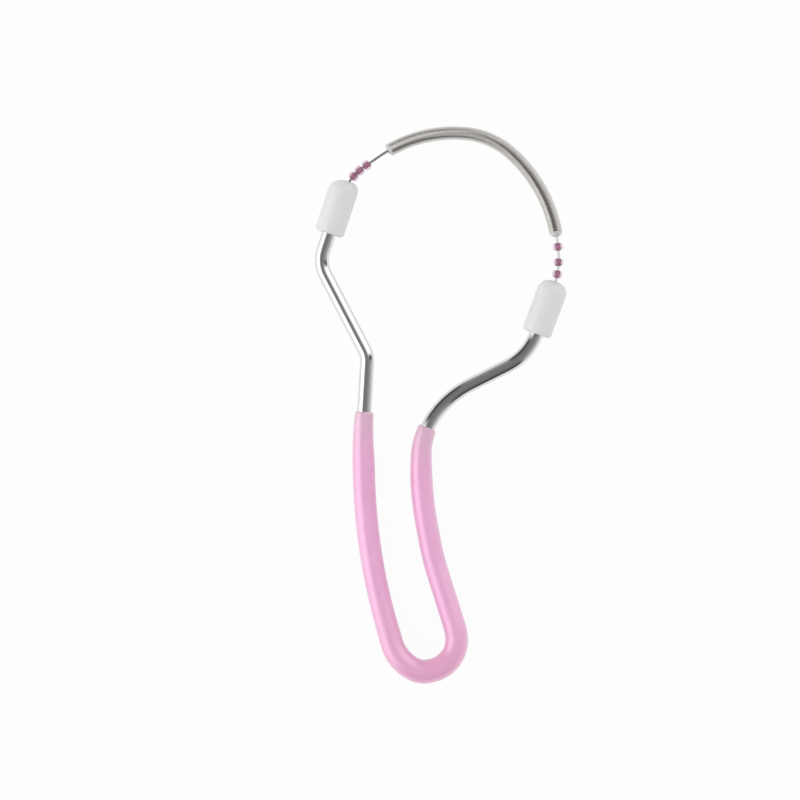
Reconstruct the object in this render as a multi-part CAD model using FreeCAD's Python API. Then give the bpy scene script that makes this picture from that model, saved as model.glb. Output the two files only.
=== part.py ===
import FreeCAD
import Part
import math
import os

# Facial hair removal spring: a hand tool that is one closed ring of wire.
# The lower half is a stiff bent handle wire, dipped in soft vinyl where the fingers squeeze it.
# The upper half is a thin core wire that carries a close-wound coil spring and six small beads.
# Two white caps join the halves. The tool lies flat, +Y towards the spring, +Z up, floor at z = 0.
# Lengths are millimetres and angles are degrees.

# Wires and the soft coating, which thins towards its two mouths and thickens at the tip.
HANDLE_WIRE_DIAMETER = 1.5
CORE_WIRE_DIAMETER = 0.3
GRIP_DIAMETER = 2.4
GRIP_MOUTH_DIAMETER = 2.0
GRIP_TAPER_LENGTH = 5.4
GRIP_LIP_LENGTH = 0.15
GRIP_LIP_ROUNDING = 0.12
GRIP_TIP_DIAMETER = 2.56
GRIP_TIP_REACH = 9.0

# Caps: a blind seat for the handle wire and a small hole for the core wire.
CAP_DIAMETER = 3.2
CAP_LENGTH = 6.0
CAP_SHOULDER_RADIUS = 1.25
CAP_MOUTH_BEVEL = 0.22
CAP_SEAT_DEPTH = 3.8
CAP_HOLE_CLEARANCE = 0.05
LEFT_CAP_FROM_ELBOW = 3.3
RIGHT_CAP_FROM_ELBOW = 2.5

# Coil spring: its distances from the caps are measured along the core wire.
SPRING_DIAMETER = 1.45
SPRING_WIRE_THICKNESS = 0.29
SPRING_PITCH = 0.31
SPRING_FROM_LEFT_CAP = 5.4
SPRING_FROM_RIGHT_CAP = 4.8
SPRING_CORE_CLEARANCE = 0.03
SPRING_CLOSING_TURNS = 2

# Beads: the places of their middles are measured along the core wire from each cap.
BEAD_DIAMETER = 1.05
BEAD_LENGTH = 0.82
BEAD_EDGE = 0.18
BEAD_CORE_CLEARANCE = 0.05
LEFT_BEAD_PLACES = (0.86, 1.74, 2.69)
RIGHT_BEAD_PLACES = (0.82, 2.11, 3.78)

# Bends of the closed centreline, anticlockwise from the left cap: corner x, corner y, bend radius.
LEFT_ELBOW = (-13.1, 15.3, 3.4)
LEFT_SHOULDER = (-7.9, 5.3, 2.6)
LEFT_LEG_UPPER = (-8.4, -3.3, 37.0)
LEFT_LEG_LOWER = (-8.05, -15.95, 64.0)
TIP_LEFT = (-4.8, -27.35, 4.65)
TIP_BOTTOM = (-2.3, -28.9, 2.6)
TIP_RIGHT = (2.25, -27.95, 3.4)
TIP_EXIT = (1.55, -24.1, 6.4)
RIGHT_LEG_LOWER = (-0.85, -16.5, 32.0)
RIGHT_LEG_UPPER = (-2.2, -9.2, 34.0)
RIGHT_NECK = (-2.05, -2.8, 7.8)
RIGHT_SWEEP = (1.15, 1.15, 10.8)
RIGHT_ELBOW = (9.4, 5.3, 6.4)
CROWN_RIGHT_FOOT = (12.7, 14.2, 8.0)
CROWN_RIGHT = (12.55, 22.55, 15.3)
CROWN_TOP = (5.5, 29.0, 8.5)
CROWN_LEFT = (-2.45, 29.65, 14.0)
CROWN_LEFT_FOOT = (-10.1, 24.35, 7.0)

# Mouths of the coating: the places on the two legs where the vinyl begins.
GRIP_LEFT_MOUTH = (-8.25, -0.75)
GRIP_RIGHT_MOUTH = (-1.5, -2.4)

# Fineness: the turn of one facet along a bend, how far it may stray, and the sides of the sections.
BEND_STEP = 15
HANDLE_SAG = 0.09
CORE_SAG = 0.012
SHORTEST_FACET = 0.3
CAP_SHOULDER_STEPS = 4
HANDLE_SIDES = 28
CORE_WIRE_SIDES = 12
BEAD_SIDES = 16
COIL_STEPS = 8

UP = FreeCAD.Vector(0, 0, 1)
CENTRE_HEIGHT = CAP_DIAMETER / 2
TOLERANCE = 1e-6


class LoopPiece:
    """One straight run or arc of the loop, with the station at which it starts."""

    def __init__(self, station, length, start, direction, curvature):
        self.station = station
        self.length = length
        self.start = start
        self.direction = direction
        self.curvature = curvature

    def at(self, distance):
        """Point and direction at a distance from the start of the piece."""
        if not self.curvature:
            return self.start + self.direction * distance, self.direction
        centre = self.start + UP.cross(self.direction) * (1 / self.curvature)
        turn = FreeCAD.Rotation(UP, math.degrees(self.curvature * distance))
        return centre + turn.multVec(self.start - centre), turn.multVec(self.direction)

    def steps(self, sag):
        """Distances that cut the piece into facets: one for a straight run, several for a bend."""
        if not self.curvature:
            return [0.0]
        radius = 1 / abs(self.curvature)
        longest = min(math.sqrt(8 * sag * radius), math.radians(BEND_STEP) * radius)
        count = math.ceil(self.length / longest)
        return [self.length * step / count for step in range(count)]

    def nearest(self, point):
        """Gap from the piece to a point, and the distance along the piece at which it is met."""
        if not self.curvature:
            distance = (point - self.start).dot(self.direction)
        else:
            centre = self.start + UP.cross(self.direction) * (1 / self.curvature)
            start_arm = self.start - centre
            point_arm = point - centre
            angle = math.atan2(start_arm.cross(point_arm).z, start_arm.dot(point_arm))
            distance = angle / self.curvature
        distance = min(max(distance, 0.0), self.length)
        return (self.at(distance)[0] - point).Length, distance


class Loop:
    """A closed flat line of straight runs and tangent arcs. A station is a length along it."""

    def __init__(self, bends):
        corners = [FreeCAD.Vector(x, y, CENTRE_HEIGHT) for x, y, radius in bends]
        runs = [corners[(i + 1) % len(bends)] - corners[i] for i in range(len(bends))]
        headings = [FreeCAD.Vector(run).normalize() for run in runs]
        turns = []
        reaches = []
        for i, (x, y, radius) in enumerate(bends):
            sideways = headings[i - 1].cross(headings[i]).z
            turns.append(math.atan2(sideways, headings[i - 1].dot(headings[i])))
            reaches.append(radius * math.tan(abs(turns[i]) / 2))
        fitted = [self.fit(reaches, runs, i) for i in range(len(bends))]
        self.pieces = []
        self.length = 0.0
        for i, corner in enumerate(corners):
            radius = fitted[i] / math.tan(abs(turns[i]) / 2)
            start = corner - headings[i - 1] * fitted[i]
            self.add(radius * abs(turns[i]), start, headings[i - 1], math.copysign(1 / radius, turns[i]))
            straight = runs[i].Length - fitted[i] - fitted[(i + 1) % len(bends)]
            self.add(straight, corner + headings[i] * fitted[i], headings[i], 0.0)

    @staticmethod
    def fit(reaches, runs, i):
        """How far bend i reaches along its two runs, no further than they leave room for."""
        after = (i + 1) % len(runs)
        room_before = runs[i - 1].Length / (reaches[i - 1] + reaches[i])
        room_after = runs[i].Length / (reaches[i] + reaches[after])
        return reaches[i] * min(1.0, room_before, room_after)

    def add(self, length, start, direction, curvature):
        if length > TOLERANCE:
            self.pieces.append(LoopPiece(self.length, length, start, direction, curvature))
            self.length += length

    def frame(self, station):
        """Placement at a station: X across the loop, Y up and Z along it."""
        station = station % self.length
        piece = [piece for piece in self.pieces if piece.station <= station][-1]
        point, direction = piece.at(station - piece.station)
        return FreeCAD.Placement(point, FreeCAD.Rotation(UP.cross(direction), UP, direction, "ZXY"))

    def nearest(self, point):
        """Station of the loop's point that lies nearest to a given point."""
        found = []
        for piece in self.pieces:
            gap, distance = piece.nearest(point)
            found.append((gap, piece.station + distance))
        return min(found)[1]

    def stations(self, first, last, sag, extra=()):
        """Stations from first forward to last at which a bar along the loop has its sections."""
        wanted = list(extra)
        for lap in (0.0, self.length):
            for piece in self.pieces:
                wanted += [lap + piece.station + step for step in piece.steps(sag)]
        chosen = [first]
        for station in sorted(wanted):
            if chosen[-1] + SHORTEST_FACET < station < last - SHORTEST_FACET or station in extra:
                chosen.append(station)
        return chosen + [last]


def section(frame, diameter, sides=0):
    """A round section square to a frame's Z axis, or a regular polygon where sides are given."""
    if not sides:
        outline = Part.Wire(Part.makeCircle(diameter / 2))
    else:
        angles = [2 * math.pi * side / sides for side in range(sides + 1)]
        points = [FreeCAD.Vector(math.cos(angle), math.sin(angle), 0) * (diameter / 2) for angle in angles]
        outline = Part.makePolygon(points)
    outline.Placement = frame
    return outline


def skin(sections):
    """A solid with straight facets from each section to the next."""
    return Part.makeLoft(sections, True, True)


def bar(loop, first, last, diameter, sides, sag):
    """A bar of one diameter that follows the loop, within a sag of its arcs."""
    stations = loop.stations(first, last, sag)
    return skin([section(loop.frame(station), diameter, sides) for station in stations])


def handle_bar(loop, first, last, diameter):
    return bar(loop, first, last, diameter, HANDLE_SIDES, HANDLE_SAG)


def core_bar(loop, first, last, diameter):
    return bar(loop, first, last, diameter, CORE_WIRE_SIDES, CORE_SAG)


def stack(frame, profile, sides=0):
    """A straight piece along a frame's Z axis, from pairs of distance and diameter."""
    sections = []
    for distance, diameter in profile:
        moved = frame.multiply(FreeCAD.Placement(FreeCAD.Vector(0, 0, distance), FreeCAD.Rotation()))
        sections.append(section(moved, diameter, sides))
    return skin(sections)


def grip_diameter(from_mouth, from_tip):
    """The coating is drawn thin towards a mouth, and its last drip thickens it at the tip."""
    if from_mouth < GRIP_TAPER_LENGTH:
        share = max(from_mouth - GRIP_LIP_LENGTH, 0.0) / (GRIP_TAPER_LENGTH - GRIP_LIP_LENGTH)
        lip = max(1 - from_mouth / GRIP_LIP_LENGTH, 0.0) * 2 * GRIP_LIP_ROUNDING
        return GRIP_MOUTH_DIAMETER + (GRIP_DIAMETER - GRIP_MOUTH_DIAMETER) * share - lip
    share = max(1 - from_tip / GRIP_TIP_REACH, 0.0)
    return GRIP_DIAMETER + (GRIP_TIP_DIAMETER - GRIP_DIAMETER) * share * share * (3 - 2 * share)


def make_grip(loop, first, last, handle_wire):
    """The dipped coating: a sleeve on the handle wire with a rounded lip at each mouth."""
    tip = loop.nearest(FreeCAD.Vector(TIP_BOTTOM[0], TIP_BOTTOM[1], CENTRE_HEIGHT))
    near_mouths = [GRIP_LIP_LENGTH, GRIP_TAPER_LENGTH]
    extra = [first + distance for distance in near_mouths] + [last - distance for distance in near_mouths]
    sections = []
    for station in loop.stations(first, last, HANDLE_SAG, extra):
        from_mouth = min(station - first, last - station)
        diameter = grip_diameter(from_mouth, abs(station - tip))
        sections.append(section(loop.frame(station), diameter, HANDLE_SIDES))
    return skin(sections).cut(handle_wire)


def make_cap(frame, hole):
    """A cap from its mouth along its axis, with the handle wire's seat and the core wire's hole."""
    profile = [(0, CAP_DIAMETER - 2 * CAP_MOUTH_BEVEL), (CAP_MOUTH_BEVEL, CAP_DIAMETER)]
    for step in range(CAP_SHOULDER_STEPS + 1):
        angle = math.pi / 2 * step / CAP_SHOULDER_STEPS
        inset = CAP_SHOULDER_RADIUS * (1 - math.cos(angle))
        distance = CAP_LENGTH - CAP_SHOULDER_RADIUS * (1 - math.sin(angle))
        profile.append((distance, CAP_DIAMETER - 2 * inset))
    seat = stack(frame, [(-CAP_LENGTH, HANDLE_WIRE_DIAMETER), (CAP_SEAT_DEPTH, HANDLE_WIRE_DIAMETER)])
    return stack(frame, profile).cut(seat).cut(hole)


def make_bead(frame):
    """A short bead, centred on its frame, with bevelled edges and a plain bore for the core wire."""
    half = BEAD_LENGTH / 2
    end_diameter = BEAD_DIAMETER - 2 * BEAD_EDGE
    bore_diameter = CORE_WIRE_DIAMETER + 2 * BEAD_CORE_CLEARANCE
    body = stack(frame, [
        (-half, end_diameter),
        (-half + BEAD_EDGE, BEAD_DIAMETER),
        (half - BEAD_EDGE, BEAD_DIAMETER),
        (half, end_diameter),
    ], BEAD_SIDES)
    return body.cut(stack(frame, [(-BEAD_LENGTH, bore_diameter), (BEAD_LENGTH, bore_diameter)], BEAD_SIDES))


def triangle(first, second, third):
    return Part.Face(Part.makePolygon([first, second, third, first]))


def coil_root(turn, turns):
    """Inner radius of the coil after some turns: full, but drawn in to the core wire at both ends."""
    full = SPRING_DIAMETER / 2 - SPRING_WIRE_THICKNESS
    closed = (CORE_WIRE_DIAMETER / 2 + SPRING_CORE_CLEARANCE) / math.cos(math.pi / COIL_STEPS)
    share = min(1.0, turn / SPRING_CLOSING_TURNS, (turns - turn) / SPRING_CLOSING_TURNS)
    return closed + (full - closed) * math.sin(share * math.pi / 2)


def make_spring(loop, first, last):
    """A close-wound coil round the curved core wire. Its section is a ridge that faces outwards."""
    half = SPRING_WIRE_THICKNESS / 2
    wound_length = last - first - SPRING_WIRE_THICKNESS
    turns = round(wound_length / SPRING_PITCH)
    sections = []
    for step in range(turns * COIL_STEPS + 1):
        turn = step / COIL_STEPS
        root = coil_root(turn, turns)
        spin = FreeCAD.Placement(FreeCAD.Vector(), FreeCAD.Rotation(UP, 360 * turn))
        frame = loop.frame(first + half + wound_length * turn / turns).multiply(spin)
        sections.append([
            frame.multVec(FreeCAD.Vector(root, 0, -half)),
            frame.multVec(FreeCAD.Vector(root + SPRING_WIRE_THICKNESS, 0, 0)),
            frame.multVec(FreeCAD.Vector(root, 0, half)),
        ])
    faces = [triangle(*sections[0]), triangle(*reversed(sections[-1]))]
    for near, far in zip(sections, sections[1:]):
        for i in range(3):
            faces.append(triangle(near[i - 1], far[i - 1], near[i]))
            faces.append(triangle(far[i - 1], far[i], near[i]))
    return Part.Solid(Part.Shell(faces))


def cap_frame(elbow, far_bend, gap):
    """Placement of a cap's mouth on the straight run from an elbow to the next bend."""
    corner = FreeCAD.Vector(elbow[0], elbow[1], CENTRE_HEIGHT)
    axis = FreeCAD.Vector(far_bend[0] - elbow[0], far_bend[1] - elbow[1], 0).normalize()
    return FreeCAD.Placement(corner + axis * gap, FreeCAD.Rotation(UP.cross(axis), UP, axis, "ZXY"))


def on_axis(frame, distance):
    return frame.multVec(FreeCAD.Vector(0, 0, distance))


def make_tool():
    """All pieces, by name, strung on the one loop."""
    loop = Loop([
        LEFT_ELBOW, LEFT_SHOULDER, LEFT_LEG_UPPER, LEFT_LEG_LOWER,
        TIP_LEFT, TIP_BOTTOM, TIP_RIGHT, TIP_EXIT,
        RIGHT_LEG_LOWER, RIGHT_LEG_UPPER, RIGHT_NECK, RIGHT_SWEEP, RIGHT_ELBOW,
        CROWN_RIGHT_FOOT, CROWN_RIGHT, CROWN_TOP, CROWN_LEFT, CROWN_LEFT_FOOT,
    ])
    left_frame = cap_frame(LEFT_ELBOW, CROWN_LEFT_FOOT, LEFT_CAP_FROM_ELBOW)
    right_frame = cap_frame(RIGHT_ELBOW, CROWN_RIGHT_FOOT, RIGHT_CAP_FROM_ELBOW)
    left_seat = loop.nearest(on_axis(left_frame, CAP_SEAT_DEPTH)) - loop.length
    right_seat = loop.nearest(on_axis(right_frame, CAP_SEAT_DEPTH))
    left_face = loop.nearest(on_axis(left_frame, CAP_LENGTH))
    right_face = loop.nearest(on_axis(right_frame, CAP_LENGTH))
    hole_diameter = CORE_WIRE_DIAMETER + 2 * CAP_HOLE_CLEARANCE

    tool = {}
    tool["handle_wire"] = handle_bar(loop, left_seat, right_seat, HANDLE_WIRE_DIAMETER)
    grip_first = loop.nearest(FreeCAD.Vector(*GRIP_LEFT_MOUTH, CENTRE_HEIGHT))
    grip_last = loop.nearest(FreeCAD.Vector(*GRIP_RIGHT_MOUTH, CENTRE_HEIGHT))
    tool["grip_coating"] = make_grip(loop, grip_first, grip_last, tool["handle_wire"])
    left_hole = core_bar(loop, left_face - CAP_DIAMETER, left_seat + loop.length, hole_diameter)
    right_hole = core_bar(loop, right_seat, right_face + CAP_DIAMETER, hole_diameter)
    tool["left_cap"] = make_cap(left_frame, left_hole)
    tool["right_cap"] = make_cap(right_frame, right_hole)
    tool["core_wire"] = core_bar(loop, right_seat, left_seat + loop.length, CORE_WIRE_DIAMETER)
    spring_first = right_face + SPRING_FROM_RIGHT_CAP
    spring_last = left_face - SPRING_FROM_LEFT_CAP
    tool["coil_spring"] = make_spring(loop, spring_first, spring_last)
    for number, place in enumerate(LEFT_BEAD_PLACES, start=1):
        tool[f"left_bead_{number}"] = make_bead(loop.frame(left_face - place))
    for number, place in enumerate(RIGHT_BEAD_PLACES, start=1):
        tool[f"right_bead_{number}"] = make_bead(loop.frame(right_face + place))
    return tool


def write_parts(tool):
    """Write one file a piece, with the middle of the tool's outline at the origin."""
    box = Part.makeCompound(list(tool.values())).optimalBoundingBox(False, False)
    shift = FreeCAD.Vector(-box.Center.x, -box.Center.y, -box.ZMin)
    os.makedirs("parts", exist_ok=True)
    for name, shape in tool.items():
        placed = shape.copy()
        placed.translate(shift)
        placed.exportStep(f"parts/{name}.step")
        print(name, placed.ShapeType, placed.isValid(), round(placed.Volume, 4))
    print("size", round(box.XLength, 3), round(box.YLength, 3), round(box.ZLength, 3))


write_parts(make_tool())
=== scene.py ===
# %% [markdown]
# # A facial hair removal spring
# The tool is one closed ring of wire that lies flat. Its lower half is a stiff wire dipped in soft
# pink vinyl. Its upper half is a hair-thin core wire that carries a close-wound coil spring and six
# little glass beads. Two white plastic caps join the halves. We load the construction model first,
# because every piece that we make has to sit exactly where that model says.

# %% Load the construction model
import bpy
import math
from mathutils import Matrix, Vector


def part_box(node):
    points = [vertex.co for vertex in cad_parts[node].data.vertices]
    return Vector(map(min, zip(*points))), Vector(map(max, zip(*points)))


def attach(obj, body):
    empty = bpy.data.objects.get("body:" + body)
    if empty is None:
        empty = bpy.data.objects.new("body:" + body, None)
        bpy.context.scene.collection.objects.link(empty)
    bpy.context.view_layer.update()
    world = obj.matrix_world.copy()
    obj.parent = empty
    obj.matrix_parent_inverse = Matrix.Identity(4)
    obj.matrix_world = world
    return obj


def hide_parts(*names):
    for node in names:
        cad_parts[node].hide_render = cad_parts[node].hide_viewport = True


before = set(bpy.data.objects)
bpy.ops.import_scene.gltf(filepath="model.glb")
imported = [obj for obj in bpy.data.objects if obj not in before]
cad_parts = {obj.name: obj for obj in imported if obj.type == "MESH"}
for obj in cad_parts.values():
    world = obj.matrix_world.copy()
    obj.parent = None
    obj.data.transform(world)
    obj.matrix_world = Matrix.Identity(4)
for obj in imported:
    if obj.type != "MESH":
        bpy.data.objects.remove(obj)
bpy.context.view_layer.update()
print("construction nodes:", len(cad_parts))

# %% [markdown]
# ## One line for everything
# All pieces are strung on one bent line, so we describe that line once: the corner points of the
# bends, in millimetres, each with its bend radius. Straight runs and arcs that touch them follow from
# those points. A real wire is bent in the same way, corner by corner, on a bending jig.

# %% The bends of the ring, from the left cap round the tip and back
MM = 0.001
BENDS = {
    "left elbow": (-13.1, 15.3, 3.4),
    "left shoulder": (-7.9, 5.3, 2.6),
    "left leg, upper": (-8.4, -3.3, 37.0),
    "left leg, lower": (-8.05, -15.95, 64.0),
    "tip, left": (-4.8, -27.35, 4.65),
    "tip, bottom": (-2.3, -28.9, 2.6),
    "tip, right": (2.25, -27.95, 3.4),
    "tip, exit": (1.55, -24.1, 6.4),
    "right leg, lower": (-0.85, -16.5, 32.0),
    "right leg, upper": (-2.2, -9.2, 34.0),
    "right neck": (-2.05, -2.8, 7.8),
    "right sweep": (1.15, 1.15, 10.8),
    "right elbow": (9.4, 5.3, 6.4),
    "crown, right foot": (12.7, 14.2, 8.0),
    "crown, right": (12.55, 22.55, 15.3),
    "crown, top": (5.5, 29.0, 8.5),
    "crown, left": (-2.45, 29.65, 14.0),
    "crown, left foot": (-10.1, 24.35, 7.0),
}
UP = Vector((0, 0, 1))
CAP_DIAMETER = 3.2

# %% [markdown]
# ## Stations along the ring
# A station is a length along the line. We want the point and the direction at any station, because
# a tube, a coil or a bead is then only a set of rings set square to the line. The pieces of the line
# are worked out once: each bend becomes an arc, and what is left between two arcs is straight.

# %% Straight runs and arcs, with the station at which each starts
def corner_point(name):
    x, y, radius = BENDS[name]
    return Vector((x, y, CAP_DIAMETER / 2))


def ring_pieces():
    names = list(BENDS)
    corners = [corner_point(name) for name in names]
    count = len(names)
    headings = [(corners[(i + 1) % count] - corners[i]).normalized() for i in range(count)]
    turns = [
        math.atan2(headings[i - 1].cross(headings[i]).z, headings[i - 1].dot(headings[i]))
        for i in range(count)
    ]
    reaches = [BENDS[names[i]][2] * math.tan(abs(turns[i]) / 2) for i in range(count)]
    pieces = []
    station = 0.0
    for i in range(count):
        radius = BENDS[names[i]][2]
        start = corners[i] - headings[i - 1] * reaches[i]
        length = radius * abs(turns[i])
        pieces.append((station, length, start, headings[i - 1], math.copysign(1 / radius, turns[i])))
        station += length
        run = (corners[(i + 1) % count] - corners[i]).length
        straight = max(run - reaches[i] - reaches[(i + 1) % count], 0.0)
        pieces.append((station, straight, corners[i] + headings[i] * reaches[i], headings[i], 0.0))
        station += straight
    return pieces, station


PIECES, RING_LENGTH = ring_pieces()
print("the ring is", round(RING_LENGTH, 1), "mm long")


# %% Point and direction at a station
def on_piece(piece, distance):
    station, length, start, direction, curvature = piece
    if not curvature:
        return start + direction * distance, direction
    centre = start + UP.cross(direction) / curvature
    turn = Matrix.Rotation(curvature * distance, 3, UP)
    return centre + turn @ (start - centre), turn @ direction


def at(station):
    station = station % RING_LENGTH
    piece = [piece for piece in PIECES if piece[0] <= station][-1]
    return on_piece(piece, min(station - piece[0], piece[1]))


def nearest(point, step=0.02):
    """Station of the ring's point nearest to a point, to a fiftieth of a millimetre."""
    count = int(RING_LENGTH / step)
    gaps = [(at(i * step)[0] - point).length for i in range(count)]
    return gaps.index(min(gaps)) * step


# %% [markdown]
# ## Places along the ring
# The caps sit on the straight runs above the two elbows. All else is measured from them along the
# line: the seats inside the caps, the faces where the core wire comes out, the beads and the spring.

# %% Places of the caps, with the gap from an elbow's corner to the mouth of its cap
CAP_LENGTH = 6.0
CAP_SEAT_DEPTH = 3.8
LEFT_CAP_GAP = 3.3
RIGHT_CAP_GAP = 2.5


def cap_axis(elbow, far_bend, gap):
    """Mouth point and direction of a cap on the straight run between two bends."""
    axis = (corner_point(far_bend) - corner_point(elbow)).normalized()
    return corner_point(elbow) + axis * gap, axis


LEFT_MOUTH, LEFT_AXIS = cap_axis("left elbow", "crown, left foot", LEFT_CAP_GAP)
RIGHT_MOUTH, RIGHT_AXIS = cap_axis("right elbow", "crown, right foot", RIGHT_CAP_GAP)

# %% Stations of the seats, the caps' far faces, the coating and the spring
LEFT_GRIP_MOUTH = (-8.25, -0.75, CAP_DIAMETER / 2)
RIGHT_GRIP_MOUTH = (-1.5, -2.4, CAP_DIAMETER / 2)
LEFT_SPRING_GAP = 5.4
RIGHT_SPRING_GAP = 4.8

left_seat = nearest(LEFT_MOUTH + LEFT_AXIS * CAP_SEAT_DEPTH) - RING_LENGTH
left_face = nearest(LEFT_MOUTH + LEFT_AXIS * CAP_LENGTH)
right_seat = nearest(RIGHT_MOUTH + RIGHT_AXIS * CAP_SEAT_DEPTH)
right_face = nearest(RIGHT_MOUTH + RIGHT_AXIS * CAP_LENGTH)
grip_first = nearest(Vector(LEFT_GRIP_MOUTH))
grip_last = nearest(Vector(RIGHT_GRIP_MOUTH))
grip_tip = nearest(corner_point("tip, bottom"))
spring_first = right_face + RIGHT_SPRING_GAP
spring_last = left_face - LEFT_SPRING_GAP
print("handle wire:", round(right_seat - left_seat, 1), "mm")
print("spring:", round(spring_last - spring_first, 1), "mm")

# %% [markdown]
# ## Where the drawing meets the model
# The construction model is shifted so that the middle of its outline is at zero. A bead is the same
# from all sides, so the middle of its box is the bead's own place. We compare it with the place of
# that bead on our line, and all our pieces then land on the model whatever its shift is.

# %% Shift from the drawing to the model
LEFT_BEAD_PLACES = (0.86, 1.74, 2.69)
RIGHT_BEAD_PLACES = (0.82, 2.11, 3.78)
low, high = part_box("right_bead_1")
SHIFT = (low + high) / 2 - at(right_face + RIGHT_BEAD_PLACES[0])[0] * MM
SHIFT.z = 0.0
print("shift in mm:", [round(value / MM, 3) for value in SHIFT])

# %% [markdown]
# ## Rings into skins
# Blender could sweep a circle along a curve for us, but then the thickness, the lip and the inside of
# a piece would need tricks. We build the rings ourselves and join each to the next. A skin that ends
# in the ring that it began with is a sleeve with a bore; one that doesn't gets its two ends closed.
# Each point also remembers how far along and how far round it is, for the materials to use.

# %% A ring square to the line, and a skin over many rings
def ring(centre, direction, radius, sides, along):
    """A ring of points in metres, with the distance along the piece that each belongs to."""
    across = UP.cross(direction).normalized()
    upward = direction.cross(across)
    points = []
    for side in range(sides):
        angle = 2 * math.pi * side / sides
        arm = across * math.cos(angle) + upward * math.sin(angle)
        points.append((centre + arm * radius) * MM + SHIFT)
    return points, along


def skin(name, rings, closed=False):
    sides = len(rings[0][0])
    points = [point for ring_points, along in rings for point in ring_points]
    rows = len(rings) if closed else len(rings) - 1
    faces = []
    for row in range(rows):
        here = row * sides
        there = (row + 1) % len(rings) * sides
        for side in range(sides):
            after = (side + 1) % sides
            faces.append((here + side, here + after, there + after, there + side))
    if not closed:
        faces.append(tuple(reversed(range(sides))))
        faces.append(tuple(range(len(points) - sides, len(points))))
    mesh = bpy.data.meshes.new(name)
    mesh.from_pydata(points, [], faces)
    mesh.shade_smooth()
    lengthwise = mesh.attributes.new("along", "FLOAT", "POINT")
    around = mesh.attributes.new("around", "FLOAT", "POINT")
    for row, (ring_points, along) in enumerate(rings):
        for side in range(sides):
            lengthwise.data[row * sides + side].value = along
            around.data[row * sides + side].value = 2 * abs(side / sides - 0.5)
    piece = bpy.data.objects.new(name, mesh)
    bpy.context.collection.objects.link(piece)
    return piece


def evenly(first, last, step):
    count = max(1, math.ceil((last - first) / step))
    return [first + (last - first) * i / count for i in range(count + 1)]


def stand_for(piece, node, slot_name, *finishes):
    """The piece takes the place of a construction node, and gets its finishes."""
    for finish in finishes:
        piece.data.materials.append(finish)
    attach(piece, "root")
    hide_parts(node)
    print(node, "has", len(piece.data.polygons), "faces")
    return piece


# %% [markdown]
# ## Shared effects
# Three effects come back in several finishes, so each is a node group with its own inputs. Drawn wire
# keeps faint lines along its length from the die that it was pulled through. Moulded and dipped
# plastic has a soft, uneven surface that is only seen in its highlights. And near the ends of the
# spring and of the core wire, a mask makes the steel paler and less like a mirror.

# %% Small helpers for node trees
def add(tree, kind, settings=None, **inputs):
    """A node with its settings and inputs. An input goes by its name, or by its number as i0, i1 or
    i2, and it is linked where a socket is given for it."""
    node = tree.nodes.new(kind)
    for key, value in (settings or {}).items():
        setattr(node, key, value)
    for key, value in inputs.items():
        numbered = key[0] == "i" and key[1:].isdigit()
        socket = node.inputs[int(key[1:]) if numbered else key.replace("_", " ")]
        if isinstance(value, bpy.types.NodeSocket):
            tree.links.new(value, socket)
        else:
            socket.default_value = value
    return node


def calc(tree, operation, *values):
    """The result of one sum on two or three values."""
    inputs = {f"i{number}": value for number, value in enumerate(values)}
    return add(tree, "ShaderNodeMath", {"operation": operation}, **inputs).outputs[0]


def remap(tree, value, first, last, low=0.0, high=1.0, ease="LINEAR"):
    """A value between first and last turned into one between low and high."""
    return add(
        tree, "ShaderNodeMapRange", {"interpolation_type": ease},
        Value=value, From_Min=first, From_Max=last, To_Min=low, To_Max=high,
    ).outputs["Result"]


def noise(tree, place, scale, detail, dimensions="3D"):
    return add(
        tree, "ShaderNodeTexNoise", {"noise_dimensions": dimensions},
        Vector=place, Scale=scale, Detail=detail,
    ).outputs["Fac"]


def stored(tree, name):
    """What the points of the mesh remember under a name."""
    return add(tree, "ShaderNodeAttribute", {"attribute_name": name}).outputs["Fac"]


def new_group(name, inputs, outputs):
    group = bpy.data.node_groups.new(name, "ShaderNodeTree")
    for label, default in inputs.items():
        socket = group.interface.new_socket(name=label, in_out="INPUT", socket_type="NodeSocketFloat")
        socket.default_value = default
    for label in outputs:
        group.interface.new_socket(name=label, in_out="OUTPUT", socket_type="NodeSocketFloat")
    start = group.nodes.new("NodeGroupInput")
    end = group.nodes.new("NodeGroupOutput")
    return group, start, end


# %% Drawing lines along a wire
def make_drawn_lines():
    group, start, end = new_group("drawn lines", {"Lines round": 30.0, "Lines per metre": 60.0}, ["Mask"])
    x = calc(group, "MULTIPLY", stored(group, "around"), start.outputs["Lines round"])
    y = calc(group, "MULTIPLY", stored(group, "along"), start.outputs["Lines per metre"])
    place = add(group, "ShaderNodeCombineXYZ", X=x, Y=y).outputs[0]
    group.links.new(noise(group, place, 1.0, 2.0, "2D"), end.inputs["Mask"])
    return group


# %% Soft unevenness of moulded and dipped plastic
GRAIN_SHARE = 0.12


def make_soft_relief():
    group, start, end = new_group(
        "soft relief", {"Waves per metre": 300.0, "Grain per metre": 9000.0}, ["Relief", "Cloud"],
    )
    place = add(group, "ShaderNodeTexCoord").outputs["Object"]
    waves = noise(group, place, start.outputs["Waves per metre"], 1.0)
    grain = noise(group, place, start.outputs["Grain per metre"], 2.0)
    group.links.new(calc(group, "MULTIPLY_ADD", grain, GRAIN_SHARE, waves), end.inputs["Relief"])
    group.links.new(waves, end.inputs["Cloud"])
    return group
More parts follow.
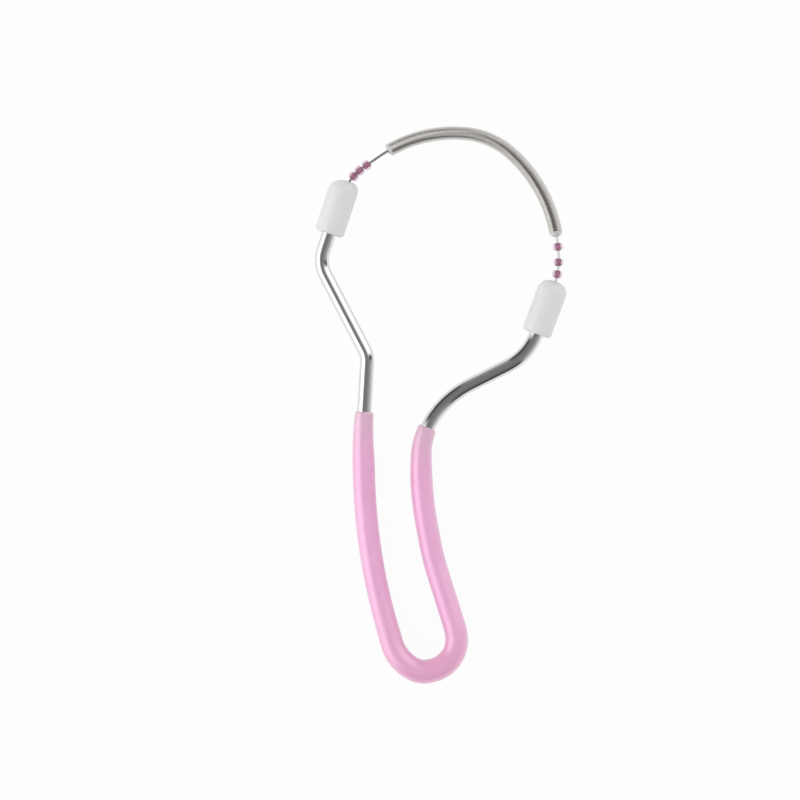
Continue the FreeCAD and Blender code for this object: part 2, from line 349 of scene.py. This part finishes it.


# %% A mask for the ends of a wire
def make_pale_end_mask():
    """One up to the first place along the wire and beyond the second, and zero between them."""
    group, start, end = new_group("pale end mask", {"Up to": 0.0, "Beyond": 1.0, "Fade": 0.001}, ["Mask"])
    along = stored(group, "along")
    up_to, beyond, fade = (start.outputs[label] for label in ("Up to", "Beyond", "Fade"))
    near_start = remap(group, along, calc(group, "ADD", up_to, fade), up_to)
    near_end = remap(group, along, beyond, calc(group, "ADD", beyond, fade))
    group.links.new(calc(group, "MAXIMUM", near_start, near_end), end.inputs["Mask"])
    return group


# %% The three effects, ready for any finish
drawn_lines = make_drawn_lines()
soft_relief = make_soft_relief()
pale_end_mask = make_pale_end_mask()


def place_group(tree, group, **values):
    return add(tree, "ShaderNodeGroup", {"node_tree": group}, **values)


print("shared effects:", [group.name for group in (drawn_lines, soft_relief, pale_end_mask)])


# %% [markdown]
# ## Materials
# Every finish starts from the same Principled shader, and differs in what feeds it. Numbers that are
# the same all over a surface are set on the shader itself.

# %% Start of a finish
def new_finish(name, **values):
    finish = bpy.data.materials.new(name)
    finish.use_nodes = True
    tree = finish.node_tree
    shader = tree.nodes["Principled BSDF"]
    for key, value in values.items():
        shader.inputs[key.replace("_", " ")].default_value = value
    return finish, tree, shader


def spread(tree, factor, low, high):
    """A factor from 0 to 1 turned into a value from low to high."""
    return remap(tree, factor, 0.0, 1.0, low, high)


def blend_colours(tree, factor, first, second):
    """A colour between two, by a factor from 0 to 1."""
    mix = add(tree, "ShaderNodeMix", {"data_type": "RGBA"}, i0=factor)
    for socket, colour in ((mix.inputs[6], first), (mix.inputs[7], second)):
        if isinstance(colour, bpy.types.NodeSocket):
            tree.links.new(colour, socket)
        else:
            socket.default_value = (*colour, 1.0)
    return mix.outputs[2]


def set_colour(tree, shader, factor, first, second):
    tree.links.new(blend_colours(tree, factor, first, second), shader.inputs["Base Color"])


def bump(tree, shader, height, strength, distance):
    node = add(tree, "ShaderNodeBump", Strength=strength, Distance=distance, Height=height)
    tree.links.new(node.outputs["Normal"], shader.inputs["Normal"])


# %% [markdown]
# ### Steel
# The handle wire is polished and plated, nearly a mirror. The spring and its core wire are drawn steel
# and a little duller and warmer. One function makes all three, with the drawing lines as a slight
# change of roughness and a very low bump.

# %% Polished and drawn steel
def make_steel(name, bright, dull, smooth, rough, line_depth):
    """The depth of the lines is in millimetres."""
    finish, tree, shader = new_finish(name, Metallic=1.0)
    lines = place_group(tree, drawn_lines, Lines_round=26.0, Lines_per_metre=90.0).outputs["Mask"]
    set_colour(tree, shader, lines, bright, dull)
    tree.links.new(spread(tree, lines, smooth, rough), shader.inputs["Roughness"])
    bump(tree, shader, lines, strength=0.3, distance=line_depth * MM)
    return finish


polished_steel = make_steel("polished steel", (0.9, 0.9, 0.91), (0.78, 0.78, 0.79), 0.08, 0.15, 0.002)
spring_steel = make_steel("spring steel", (0.86, 0.84, 0.81), (0.78, 0.76, 0.73), 0.14, 0.22, 0.001)
core_steel = make_steel("core steel", (0.78, 0.78, 0.77), (0.64, 0.64, 0.63), 0.3, 0.44, 0.002)
print("steels:", [steel.name for steel in (polished_steel, spring_steel, core_steel)])

# %% Pale ends of a wire
# The ends of a wire are paler and less like a mirror: this colour, and this share of metal.
PALE_END_COLOUR = (0.8, 0.8, 0.79)
PALE_END_METALLIC = 0.25


def make_ends_pale(finish, up_to, beyond, fade):
    """The ends of a wire are made paler, and less like a mirror. All places are in metres."""
    tree = finish.node_tree
    shader = tree.nodes["Principled BSDF"]
    pale_share = place_group(tree, pale_end_mask, Up_to=up_to, Beyond=beyond, Fade=fade).outputs["Mask"]
    set_colour(tree, shader, pale_share, shader.inputs["Base Color"].links[0].from_socket, PALE_END_COLOUR)
    tree.links.new(spread(tree, pale_share, 1.0, PALE_END_METALLIC), shader.inputs["Metallic"])


# %% [markdown]
# ### Dipped vinyl
# The coating is thick, soft and glossy. Where it runs out at its two mouths it is so thin that the
# wire greys it. Near the tip, where the last drop makes it thickest, the colour is painted a little
# darker as shade, for the weaker highlight there. The points of the coating remember how many
# millimetres they are from the nearer mouth, and the colour follows from that. All our plastics and
# the glass begin with the same soft relief.

# %% Start of a finish with soft relief
def new_soft_finish(name, waves, grain, smooth, rough, **values):
    """The relief's cloud makes the surface here a little smoother and there a little rougher."""
    finish, tree, shader = new_finish(name, **values)
    relief = place_group(tree, soft_relief, Waves_per_metre=waves, Grain_per_metre=grain).outputs
    tree.links.new(spread(tree, relief["Cloud"], smooth, rough), shader.inputs["Roughness"])
    return finish, tree, shader, relief


# %% Pink vinyl
LEG_PINKS = ((0.875, 0.4, 0.67), (0.925, 0.465, 0.73))
# Near the tip the pinks are painted darker: painted shade for the weaker highlight there.
TIP_SHADE_PINKS = ((0.845, 0.385, 0.62), (0.895, 0.44, 0.67))
GREYED_PINK = (0.78, 0.47, 0.62)
GREYED_UP_TO = 5.5
TIP_SHADE_BEGINS_AT = 18.0
TIP_SHADE_IS_FULL_AT = 27.0


def make_vinyl():
    finish, tree, shader, relief = new_soft_finish(
        "pink vinyl", waves=260.0, grain=7000.0, smooth=0.26, rough=0.36,
        IOR=1.52, Specular_IOR_Level=1.0, Coat_Weight=1.0, Coat_Roughness=0.28, Coat_IOR=1.65,
        Subsurface_Weight=0.12, Subsurface_Scale=0.0008, Subsurface_Radius=(1.0, 0.5, 0.7),
    )
    from_mouth = stored(tree, "along")
    # Towards the tip the colour fades into the darker pinks, as painted shade.
    tip_shade = remap(tree, from_mouth, TIP_SHADE_BEGINS_AT, TIP_SHADE_IS_FULL_AT, ease="SMOOTHSTEP")
    thick = remap(tree, from_mouth, 0.0, GREYED_UP_TO, ease="SMOOTHSTEP")
    legs = blend_colours(tree, relief["Cloud"], *LEG_PINKS)
    shaded_tip_pink = blend_colours(tree, relief["Cloud"], *TIP_SHADE_PINKS)
    set_colour(tree, shader, thick, GREYED_PINK, blend_colours(tree, tip_shade, legs, shaded_tip_pink))
    bump(tree, shader, relief["Relief"], strength=0.35, distance=0.05 * MM)
    return finish


pink_vinyl = make_vinyl()
print("made", pink_vinyl.name)


# %% [markdown]
# ### White plastic and beads
# The caps are satin moulded plastic. The beads are clear glass with a coloured lining in the bore,
# as seed beads have: the lining looks like a plum core with a pale halo round it.

# %% White plastic
def make_white_plastic():
    finish, tree, shader, relief = new_soft_finish(
        "white plastic", waves=500.0, grain=12000.0, smooth=0.38, rough=0.5,
        IOR=1.5, Specular_IOR_Level=0.9, Subsurface_Weight=0.1, Subsurface_Scale=0.0006,
    )
    set_colour(tree, shader, relief["Cloud"], (0.73, 0.73, 0.725), (0.78, 0.78, 0.775))
    bump(tree, shader, relief["Relief"], strength=0.3, distance=0.03 * MM)
    return finish


white_plastic = make_white_plastic()
print("made", white_plastic.name)


# %% Bead glass and its lining
BEAD_GRAIN = 9000.0


def make_bead_finish(name, waves, smooth, rough, first, second, **values):
    finish, tree, shader, relief = new_soft_finish(name, waves, BEAD_GRAIN, smooth, rough, **values)
    set_colour(tree, shader, relief["Cloud"], first, second)
    return finish


bead_glass = make_bead_finish(
    "bead glass", 900.0, 0.04, 0.1, (0.85, 0.66, 0.78), (0.92, 0.76, 0.85),
    Transmission_Weight=1.0, IOR=1.46, Metallic=0.0,
)
bead_lining = make_bead_finish(
    "bead lining", 1500.0, 0.3, 0.45, (0.32, 0.15, 0.23), (0.56, 0.29, 0.4), IOR=1.5,
)
print("made", bead_glass.name, "and", bead_lining.name)

# %% [markdown]
# ## The handle wire
# One wire, 1.5 mm thick, runs from seat to seat. Rings every third of a millimetre keep its bends
# round without spending faces on them.

# %% Handle wire
HANDLE_WIRE_DIAMETER = 1.5
HANDLE_SIDES = 32
RING_STEP = 0.33


def bar(name, first, last, diameter, sides, step):
    rings = []
    for station in evenly(first, last, step):
        point, direction = at(station)
        rings.append(ring(point, direction, diameter / 2, sides, (station - first) * MM))
    return skin(name, rings)


handle = bar("handle_wire_polished", left_seat, right_seat, HANDLE_WIRE_DIAMETER, HANDLE_SIDES, RING_STEP)
stand_for(handle, "handle_wire", "polished_steel", polished_steel)

# %% [markdown]
# ## The dipped coating
# The wire was dipped tip first into liquid vinyl and hung to drain. So the skin is thinnest at its
# two mouths, where it ends in a small rounded lip, and it is thickest where the last drop set at the
# tip. We go out along the outer surface and come back along the bore, which makes a real sleeve.

# %% Grip coating
GRIP_DIAMETER = 2.4
GRIP_MOUTH_DIAMETER = 2.0
GRIP_TAPER_LENGTH = 5.4
GRIP_TIP_DIAMETER = 2.56
GRIP_TIP_REACH = 9.0
LIP_LENGTH = 0.25
LIP_STEPS = 5
LIP_WALL_SHARE = 0.35


def grip_radius(station):
    from_mouth = min(station - grip_first, grip_last - station)
    share = min(from_mouth / GRIP_TAPER_LENGTH, 1.0)
    radius = (GRIP_MOUTH_DIAMETER + (GRIP_DIAMETER - GRIP_MOUTH_DIAMETER) * share) / 2
    near_tip = max(1 - abs(station - grip_tip) / GRIP_TIP_REACH, 0.0)
    radius += (GRIP_TIP_DIAMETER - GRIP_DIAMETER) / 2 * near_tip * near_tip * (3 - 2 * near_tip)
    lip = min(from_mouth / LIP_LENGTH, 1.0)
    rounding = LIP_WALL_SHARE + (1 - LIP_WALL_SHARE) * math.sqrt(1 - (1 - lip) ** 2)
    thickness = radius - HANDLE_WIRE_DIAMETER / 2
    return HANDLE_WIRE_DIAMETER / 2 + thickness * rounding


def make_grip():
    lip = [LIP_LENGTH * (1 - math.cos(math.pi / 2 * i / LIP_STEPS)) for i in range(LIP_STEPS)]
    stations = [grip_first + distance for distance in lip]
    stations += evenly(grip_first + LIP_LENGTH, grip_last - LIP_LENGTH, RING_STEP)
    stations += [grip_last - distance for distance in reversed(lip)]
    rings = []
    for station in stations:
        point, direction = at(station)
        from_mouth = min(station - grip_first, grip_last - station)
        rings.append(ring(point, direction, grip_radius(station), HANDLE_SIDES, from_mouth))
    for station in reversed(stations):
        point, direction = at(station)
        rings.append(ring(point, direction, HANDLE_WIRE_DIAMETER / 2, HANDLE_SIDES, 0.0))
    return skin("grip_coating_vinyl", rings, closed=True)


stand_for(make_grip(), "grip_coating", "pink_vinyl", pink_vinyl)

# %% [markdown]
# ## The caps
# A cap is turned on its own axis: a soft bevel at the mouth where the thick wire goes in, and a round
# shoulder at the other end, where only the thin core wire comes out through a small hole.

# %% Profile of a cap, from the seat's end out through the mouth and over the shoulder
CAP_SHOULDER_RADIUS = 1.25
CAP_SHOULDER_STEPS = 14
CAP_SIDE_RINGS = (1.5, 2.6, 3.7)
CAP_SIDES = 64
CAP_MOUTH_BEVEL = 0.22
CAP_BEVEL_EASE = 0.12
CAP_BEVEL_FOOT = 0.03
CAP_BEVEL_TOP = 0.06
CAP_MOUTH_EDGE = 0.1
CAP_MOUTH_STEPS = 3
CAP_SEAT_EDGE = 0.02
CAP_HOLE_EDGE = 0.04
CORE_WIRE_DIAMETER = 0.3
CORE_HOLE_DIAMETER = 0.4


def arc_points(centre_radius, centre_distance, size, first_angle, last_angle, steps):
    """Points of a quarter round as pairs of radius and distance along the axis."""
    points = []
    for i in range(steps + 1):
        angle = math.radians(first_angle + (last_angle - first_angle) * i / steps)
        points.append((centre_radius + size * math.cos(angle), centre_distance + size * math.sin(angle)))
    return points


def cap_profile():
    radius = CAP_DIAMETER / 2
    wire = HANDLE_WIRE_DIAMETER / 2
    hole = CORE_HOLE_DIAMETER / 2
    edge = CAP_MOUTH_EDGE
    bevel = CAP_MOUTH_BEVEL
    shoulder = CAP_SHOULDER_RADIUS
    profile = [(hole, CAP_SEAT_DEPTH), (wire - CAP_SEAT_EDGE, CAP_SEAT_DEPTH)]
    profile += [(wire, CAP_SEAT_DEPTH - CAP_SEAT_EDGE), (wire, edge)]
    profile += arc_points(wire + edge, edge, edge, 180, 270, CAP_MOUTH_STEPS)
    profile += [(radius - bevel - CAP_BEVEL_EASE, 0.0), (radius - bevel, CAP_BEVEL_FOOT)]
    profile += [(radius - CAP_BEVEL_TOP, bevel - CAP_BEVEL_TOP), (radius, bevel + CAP_BEVEL_EASE)]
    profile += [(radius, distance) for distance in CAP_SIDE_RINGS]
    profile += arc_points(radius - shoulder, CAP_LENGTH - shoulder, shoulder, 0, 90, CAP_SHOULDER_STEPS)
    profile += [(hole + CAP_HOLE_EDGE, CAP_LENGTH), (hole, CAP_LENGTH - CAP_HOLE_EDGE)]
    profile += [(hole, (CAP_LENGTH + CAP_SEAT_DEPTH) / 2)]
    return profile


# %% Caps
def wire_offset(mouth, axis, distance):
    """How far the core wire lies from the cap's axis. It bends away before it is out of the cap."""
    on_axis = mouth + axis * distance
    offset = at(nearest(on_axis))[0] - on_axis
    return offset - axis * offset.dot(axis)


def make_cap(name, mouth, axis):
    """The shoulder leans over a little, so that its top closes round the hole."""
    shoulder_foot = CAP_LENGTH - CAP_SHOULDER_RADIUS
    top_offset = wire_offset(mouth, axis, CAP_LENGTH)
    rings = []
    for radius, distance in cap_profile():
        lean = max(distance - shoulder_foot, 0.0) / CAP_SHOULDER_RADIUS
        offset = top_offset * lean * lean
        if radius <= CORE_HOLE_DIAMETER / 2 and distance < CAP_LENGTH:
            offset = wire_offset(mouth, axis, distance)
        rings.append(ring(mouth + axis * distance + offset, axis, radius, CAP_SIDES, distance * MM))
    return skin(name, rings, closed=True)


stand_for(make_cap("left_cap_moulded", LEFT_MOUTH, LEFT_AXIS), "left_cap", "white_plastic", white_plastic)
stand_for(make_cap("right_cap_moulded", RIGHT_MOUTH, RIGHT_AXIS), "right_cap", "white_plastic", white_plastic)

# %% [markdown]
# ## The core wire
# A hair-thin wire that runs from seat to seat, through the caps' holes, the beads and the spring. On
# the right, between the cap and the spring, it is made a little paler and less like a mirror.

# %% Core wire
CORE_SIDES = 16
CORE_STEP = 0.25
PALE_END_FADE = 0.2
NEVER = 1.0  # in metres, beyond the end of any wire

core_last = left_seat + RING_LENGTH
core = bar("core_wire_drawn", right_seat, core_last, CORE_WIRE_DIAMETER, CORE_SIDES, CORE_STEP)
make_ends_pale(core_steel, (spring_first - right_seat) * MM, NEVER, PALE_END_FADE * MM)
stand_for(core, "core_wire", "spring_steel", core_steel)

# %% [markdown]
# ## The coil spring
# This is the part that catches hairs between its turns. It is a true round wire, wound turn against
# turn round the curved core. We walk along the core in small steps, spin an arm round it once for
# each turn, and set a small ring square to the path of the arm's end. The last three turns at the
# right end and the last half turn at the left end draw in towards the core wire, which keeps the
# spring from sliding over the beads. The last turns at both ends are made paler and less like a mirror.

# %% Coil spring
SPRING_DIAMETER = 1.45
SPRING_WIRE_DIAMETER = 0.145
SPRING_PITCH = 0.155
RIGHT_CLOSING_TURNS = 3.0
LEFT_CLOSING_TURNS = 0.5
CLOSING_CLEARANCE = 0.03
# Turns at each end that are made paler and less like a mirror.
RIGHT_PALE_TURNS = 3.5
LEFT_PALE_TURNS = 2.6
PALE_FADE_TURNS = 0.5
STEPS_PER_TURN = 24
WIRE_SIDES = 10
LINES_LENGTH = 0.25  # in metres, the length that the drawing lines take the whole wire to have


def coil_arm(turn, turns):
    """Distance of the spring wire's middle from the core: full, but drawn in at both ends."""
    full = (SPRING_DIAMETER - SPRING_WIRE_DIAMETER) / 2
    closed = (CORE_WIRE_DIAMETER + SPRING_WIRE_DIAMETER) / 2 + CLOSING_CLEARANCE
    share = min(1.0, turn / RIGHT_CLOSING_TURNS, (turns - turn) / LEFT_CLOSING_TURNS)
    return closed + (full - closed) * math.sin(share * math.pi / 2)


def coil_point(turn, turns, wound_length):
    centre, direction = at(spring_first + SPRING_WIRE_DIAMETER / 2 + wound_length * turn / turns)
    angle = 2 * math.pi * turn
    arm = UP.cross(direction) * math.cos(angle) + UP * math.sin(angle)
    return centre + arm * coil_arm(turn, turns)


def make_spring():
    wound_length = spring_last - spring_first - SPRING_WIRE_DIAMETER
    turns = round(wound_length / SPRING_PITCH)
    one_turn = LINES_LENGTH / turns
    left_pale_start = LINES_LENGTH - LEFT_PALE_TURNS * one_turn
    make_ends_pale(spring_steel, RIGHT_PALE_TURNS * one_turn, left_pale_start, PALE_FADE_TURNS * one_turn)
    count = turns * STEPS_PER_TURN
    line = [coil_point(i / STEPS_PER_TURN, turns, wound_length) for i in range(count + 1)]
    rings = []
    for i, point in enumerate(line):
        direction = (line[min(i + 1, count)] - line[max(i - 1, 0)]).normalized()
        rings.append(ring(point, direction, SPRING_WIRE_DIAMETER / 2, WIRE_SIDES, i / count * LINES_LENGTH))
    print("the spring has", turns, "turns")
    return skin("coil_spring_wound", rings)


stand_for(make_spring(), "coil_spring", "spring_steel", spring_steel)

# %% [markdown]
# ## The beads
# Six small beads ride on the core wire beside the caps. Each has its own two materials: the faces of
# its bore get the coloured lining, and all others the clear glass.

# %% Beads
BEAD_DIAMETER = 1.05
BEAD_LENGTH = 0.82
BEAD_BORE_DIAMETER = 0.4
BEAD_EDGE = 0.28
BEAD_SIDES = 32
EDGE_STEPS = 5


def bead_profile():
    radius = BEAD_DIAMETER / 2
    half = BEAD_LENGTH / 2
    profile = arc_points(radius - BEAD_EDGE, half - BEAD_EDGE, BEAD_EDGE, 0, 90, EDGE_STEPS)
    profile += [(BEAD_BORE_DIAMETER / 2, half), (BEAD_BORE_DIAMETER / 2, -half)]
    profile += arc_points(radius - BEAD_EDGE, BEAD_EDGE - half, BEAD_EDGE, 270, 360, EDGE_STEPS)
    return profile


def make_bead(name, station):
    point, direction = at(station)
    rings = [ring(point + direction * distance, direction, radius, BEAD_SIDES, distance * MM)
             for radius, distance in bead_profile()]
    return skin(name, rings, closed=True)


def line_bore(bead):
    """Faces whose points all lie on the bore get the second material."""
    bore_row = EDGE_STEPS + 1
    for face in bead.data.polygons[bore_row * BEAD_SIDES:(bore_row + 1) * BEAD_SIDES]:
        face.material_index = 1


for side, face_station, way, places in (
    ("left", left_face, -1, LEFT_BEAD_PLACES),
    ("right", right_face, 1, RIGHT_BEAD_PLACES),
):
    for number, place in enumerate(places, start=1):
        bead = make_bead(f"{side}_bead_{number}_glass", face_station + way * place)
        stand_for(bead, f"{side}_bead_{number}", "plum_bead", bead_glass, bead_lining)
        line_bore(bead)

# %% [markdown]
# ## Floor, light and world
# The tool lies on a white table. To the camera the table and the world are plain white. Metal shows
# the table as well, with more of the shade that the tool casts on it. The object itself is lit by
# two soft boxes, a strong one on its left and a weaker one on its right.

# %% What a ray is for, and a mix of two shaders
WHITE = (1.0, 1.0, 1.0, 1.0)


def any_ray(tree, *kinds):
    """One for the named kinds of ray, and zero for all others."""
    path = add(tree, "ShaderNodeLightPath")
    found = path.outputs[kinds[0]]
    for kind in kinds[1:]:
        found = calc(tree, "MAXIMUM", found, path.outputs[kind])
    return found


def mix_shaders(tree, share, first, second):
    """The first shader where the share is 0, and the second where it is 1."""
    return add(tree, "ShaderNodeMixShader", i0=share, i1=first.outputs[0], i2=second.outputs[0])


# %% White table
TABLE_REACH = 0.6
TABLE_PAINT = (0.85, 0.85, 0.85, 1.0)
TABLE_WHITENESS = 0.95
TABLE_WHITENESS_IN_METAL = 0.3


def make_table():
    corners = [(x * TABLE_REACH, y * TABLE_REACH, 0) for x, y in ((-1, -1), (1, -1), (1, 1), (-1, 1))]
    mesh = bpy.data.meshes.new("table")
    mesh.from_pydata(corners, [], [(0, 1, 2, 3)])
    table = bpy.data.objects.new("table", mesh)
    bpy.context.collection.objects.link(table)
    finish = bpy.data.materials.new("white table")
    finish.use_nodes = True
    tree = finish.node_tree
    tree.nodes.clear()
    matt = add(tree, "ShaderNodeBsdfDiffuse", Color=TABLE_PAINT)
    white = add(tree, "ShaderNodeEmission", Color=WHITE, Strength=1.0)
    seen = any_ray(tree, "Is Camera Ray", "Is Glossy Ray", "Is Transmission Ray")
    whiteness = spread(tree, any_ray(tree, "Is Glossy Ray"), TABLE_WHITENESS, TABLE_WHITENESS_IN_METAL)
    surface = mix_shaders(tree, calc(tree, "MULTIPLY", seen, whiteness), matt, white)
    add(tree, "ShaderNodeOutputMaterial", Surface=surface.outputs[0])
    table.data.materials.append(finish)


make_table()
print("the table is", 2 * TABLE_REACH, "m wide")

# %% Soft boxes: place, width and height in metres, and power in watts
SOFT_BOXES = {
    "left soft box": ((-0.32, 0.02, 0.13), 0.24, 0.34, 0.42),
    "right soft box": ((0.34, 0.0, 0.15), 0.22, 0.30, 0.17),
}


def make_soft_box(name, place, width, height, power):
    light = bpy.data.lights.new(name, "AREA")
    light.shape = "RECTANGLE"
    light.size = width
    light.size_y = height
    light.energy = power
    box = bpy.data.objects.new(name, light)
    box.location = place
    box.rotation_euler = (-Vector(place)).to_track_quat("-Z", "Y").to_euler()
    box.visible_glossy = False
    bpy.context.collection.objects.link(box)


for name, values in SOFT_BOXES.items():
    make_soft_box(name, *values)
print("lamps:", list(SOFT_BOXES))

# %% [markdown]
# Metal mostly shows what is round it, and a world that is white all round would leave polished steel
# without its dark bands. So metal sees a studio above the table: dim overhead, darker lower down and
# a little paler again at the horizon, with four walls. Two are bright, one on the left and one behind
# on the right, and two are dim and narrow. We read the direction of a ray, flatten it to its compass
# bearing, and let each wall fade with the angle away from its own bearing. Matt surfaces only get an
# even light from all round, and the camera sees plain white behind the table.

# %% World: brightness of a wall in the direction of a ray
def wall_share(tree, flat, bearing, fade_from, fade_to):
    """From 0 to 1 as a flat direction turns towards the wall's bearing, in degrees."""
    angle = math.radians(bearing)
    towards = (math.cos(angle), math.sin(angle), 0.0)
    turned = add(tree, "ShaderNodeVectorMath", {"operation": "DOT_PRODUCT"}, i0=flat, i1=towards)
    return remap(tree, turned.outputs["Value"], fade_from, fade_to, ease="SMOOTHSTEP")


def wall(tree, share, height, top, foot, strength):
    """None above the height top, and full strength from foot down."""
    return calc(tree, "MULTIPLY", share, remap(tree, height, top, foot, high=strength))


# %% World: the dark studio, by height from the horizon to straight up
DARK_STUDIO = ((0.0, 0.12), (0.08, 0.06), (0.6, 0.08), (0.86, 0.18), (1.0, 0.19))


def dark_studio(tree, height):
    ramp = add(tree, "ShaderNodeValToRGB", Fac=height)
    stops = ramp.color_ramp.elements
    while len(stops) < len(DARK_STUDIO):
        stops.new(0.5)
    for stop, (place, grey) in zip(stops, DARK_STUDIO):
        stop.position = place
        stop.color = (grey, grey, grey, 1.0)
    return ramp.outputs["Color"]


# %% World: the walls, as bearing, fade of its sides, top and foot of its upper edge, and strength
WALLS = (
    (190, 0.75, 0.89, 0.92, 0.68, 1.5),
    (40, 0.86, 0.95, 1.0, 0.78, 1.3),
    (338, 0.87, 0.94, 1.0, 0.35, 0.4),
    (106, 0.95, 0.985, 0.95, 0.0, 0.42),
)


# %% World: white to the camera, walls to the metal, an even studio to matt surfaces
EVEN_LIGHT = 0.8


def background(tree, strength):
    return add(tree, "ShaderNodeBackground", Color=WHITE, Strength=strength)


def make_world():
    world = bpy.data.worlds.new("studio")
    world.use_nodes = True
    tree = world.node_tree
    tree.nodes.clear()
    direction = add(tree, "ShaderNodeTexCoord").outputs["Generated"]
    height = add(tree, "ShaderNodeSeparateXYZ", Vector=direction).outputs["Z"]
    level = add(tree, "ShaderNodeVectorMath", {"operation": "MULTIPLY"}, i0=direction, i1=(1.0, 1.0, 0.0))
    unit = add(tree, "ShaderNodeVectorMath", {"operation": "NORMALIZE"}, i0=level.outputs["Vector"])
    glow = dark_studio(tree, height)
    for bearing, fade_from, fade_to, top, foot, strength in WALLS:
        share = wall_share(tree, unit.outputs["Vector"], bearing, fade_from, fade_to)
        glow = calc(tree, "ADD", glow, wall(tree, share, height, top, foot, strength))
    mirrored = any_ray(tree, "Is Glossy Ray")
    seen = any_ray(tree, "Is Camera Ray", "Is Transmission Ray")
    lit = mix_shaders(tree, mirrored, background(tree, EVEN_LIGHT), background(tree, glow))
    shown = mix_shaders(tree, seen, lit, background(tree, 1.0))
    add(tree, "ShaderNodeOutputWorld", Surface=shown.outputs[0])
    bpy.context.scene.world = world


make_world()
print("walls in the studio:", len(WALLS))

# %% [markdown]
# ## Camera
# The photograph looks straight down with a long lens. One pixel is a known share of a millimetre, so
# the middle of the picture and its width are known places on the object.

# %% Camera
PICTURE_PIXELS = 800
TOOL_LENGTH = 60.0
TOOL_LENGTH_IN_PIXELS = 557.0
ZERO_ACROSS, ZERO_DOWN = 440.85, 404.85  # the drawing's zero, in pixels from the top left corner
CAMERA_HEIGHT = 600.0
SENSOR_WIDTH = 36.0
CLIP_START = 0.01

pixel = TOOL_LENGTH / TOOL_LENGTH_IN_PIXELS
picture_width = PICTURE_PIXELS * pixel
half = PICTURE_PIXELS / 2
picture_middle = Vector((half - ZERO_ACROSS, ZERO_DOWN - half, 0.0)) * pixel
lens = bpy.data.cameras.new("camera")
lens.sensor_width = SENSOR_WIDTH
lens.lens = SENSOR_WIDTH * (CAMERA_HEIGHT - CAP_DIAMETER / 2) / picture_width
lens.clip_start = CLIP_START
camera = bpy.data.objects.new("camera", lens)
camera.location = (picture_middle + Vector((0.0, 0.0, CAMERA_HEIGHT))) * MM + SHIFT
bpy.context.collection.objects.link(camera)
bpy.context.scene.camera = camera
bpy.context.scene.view_settings.view_transform = "Standard"
print("lens:", round(lens.lens, 1), "mm")
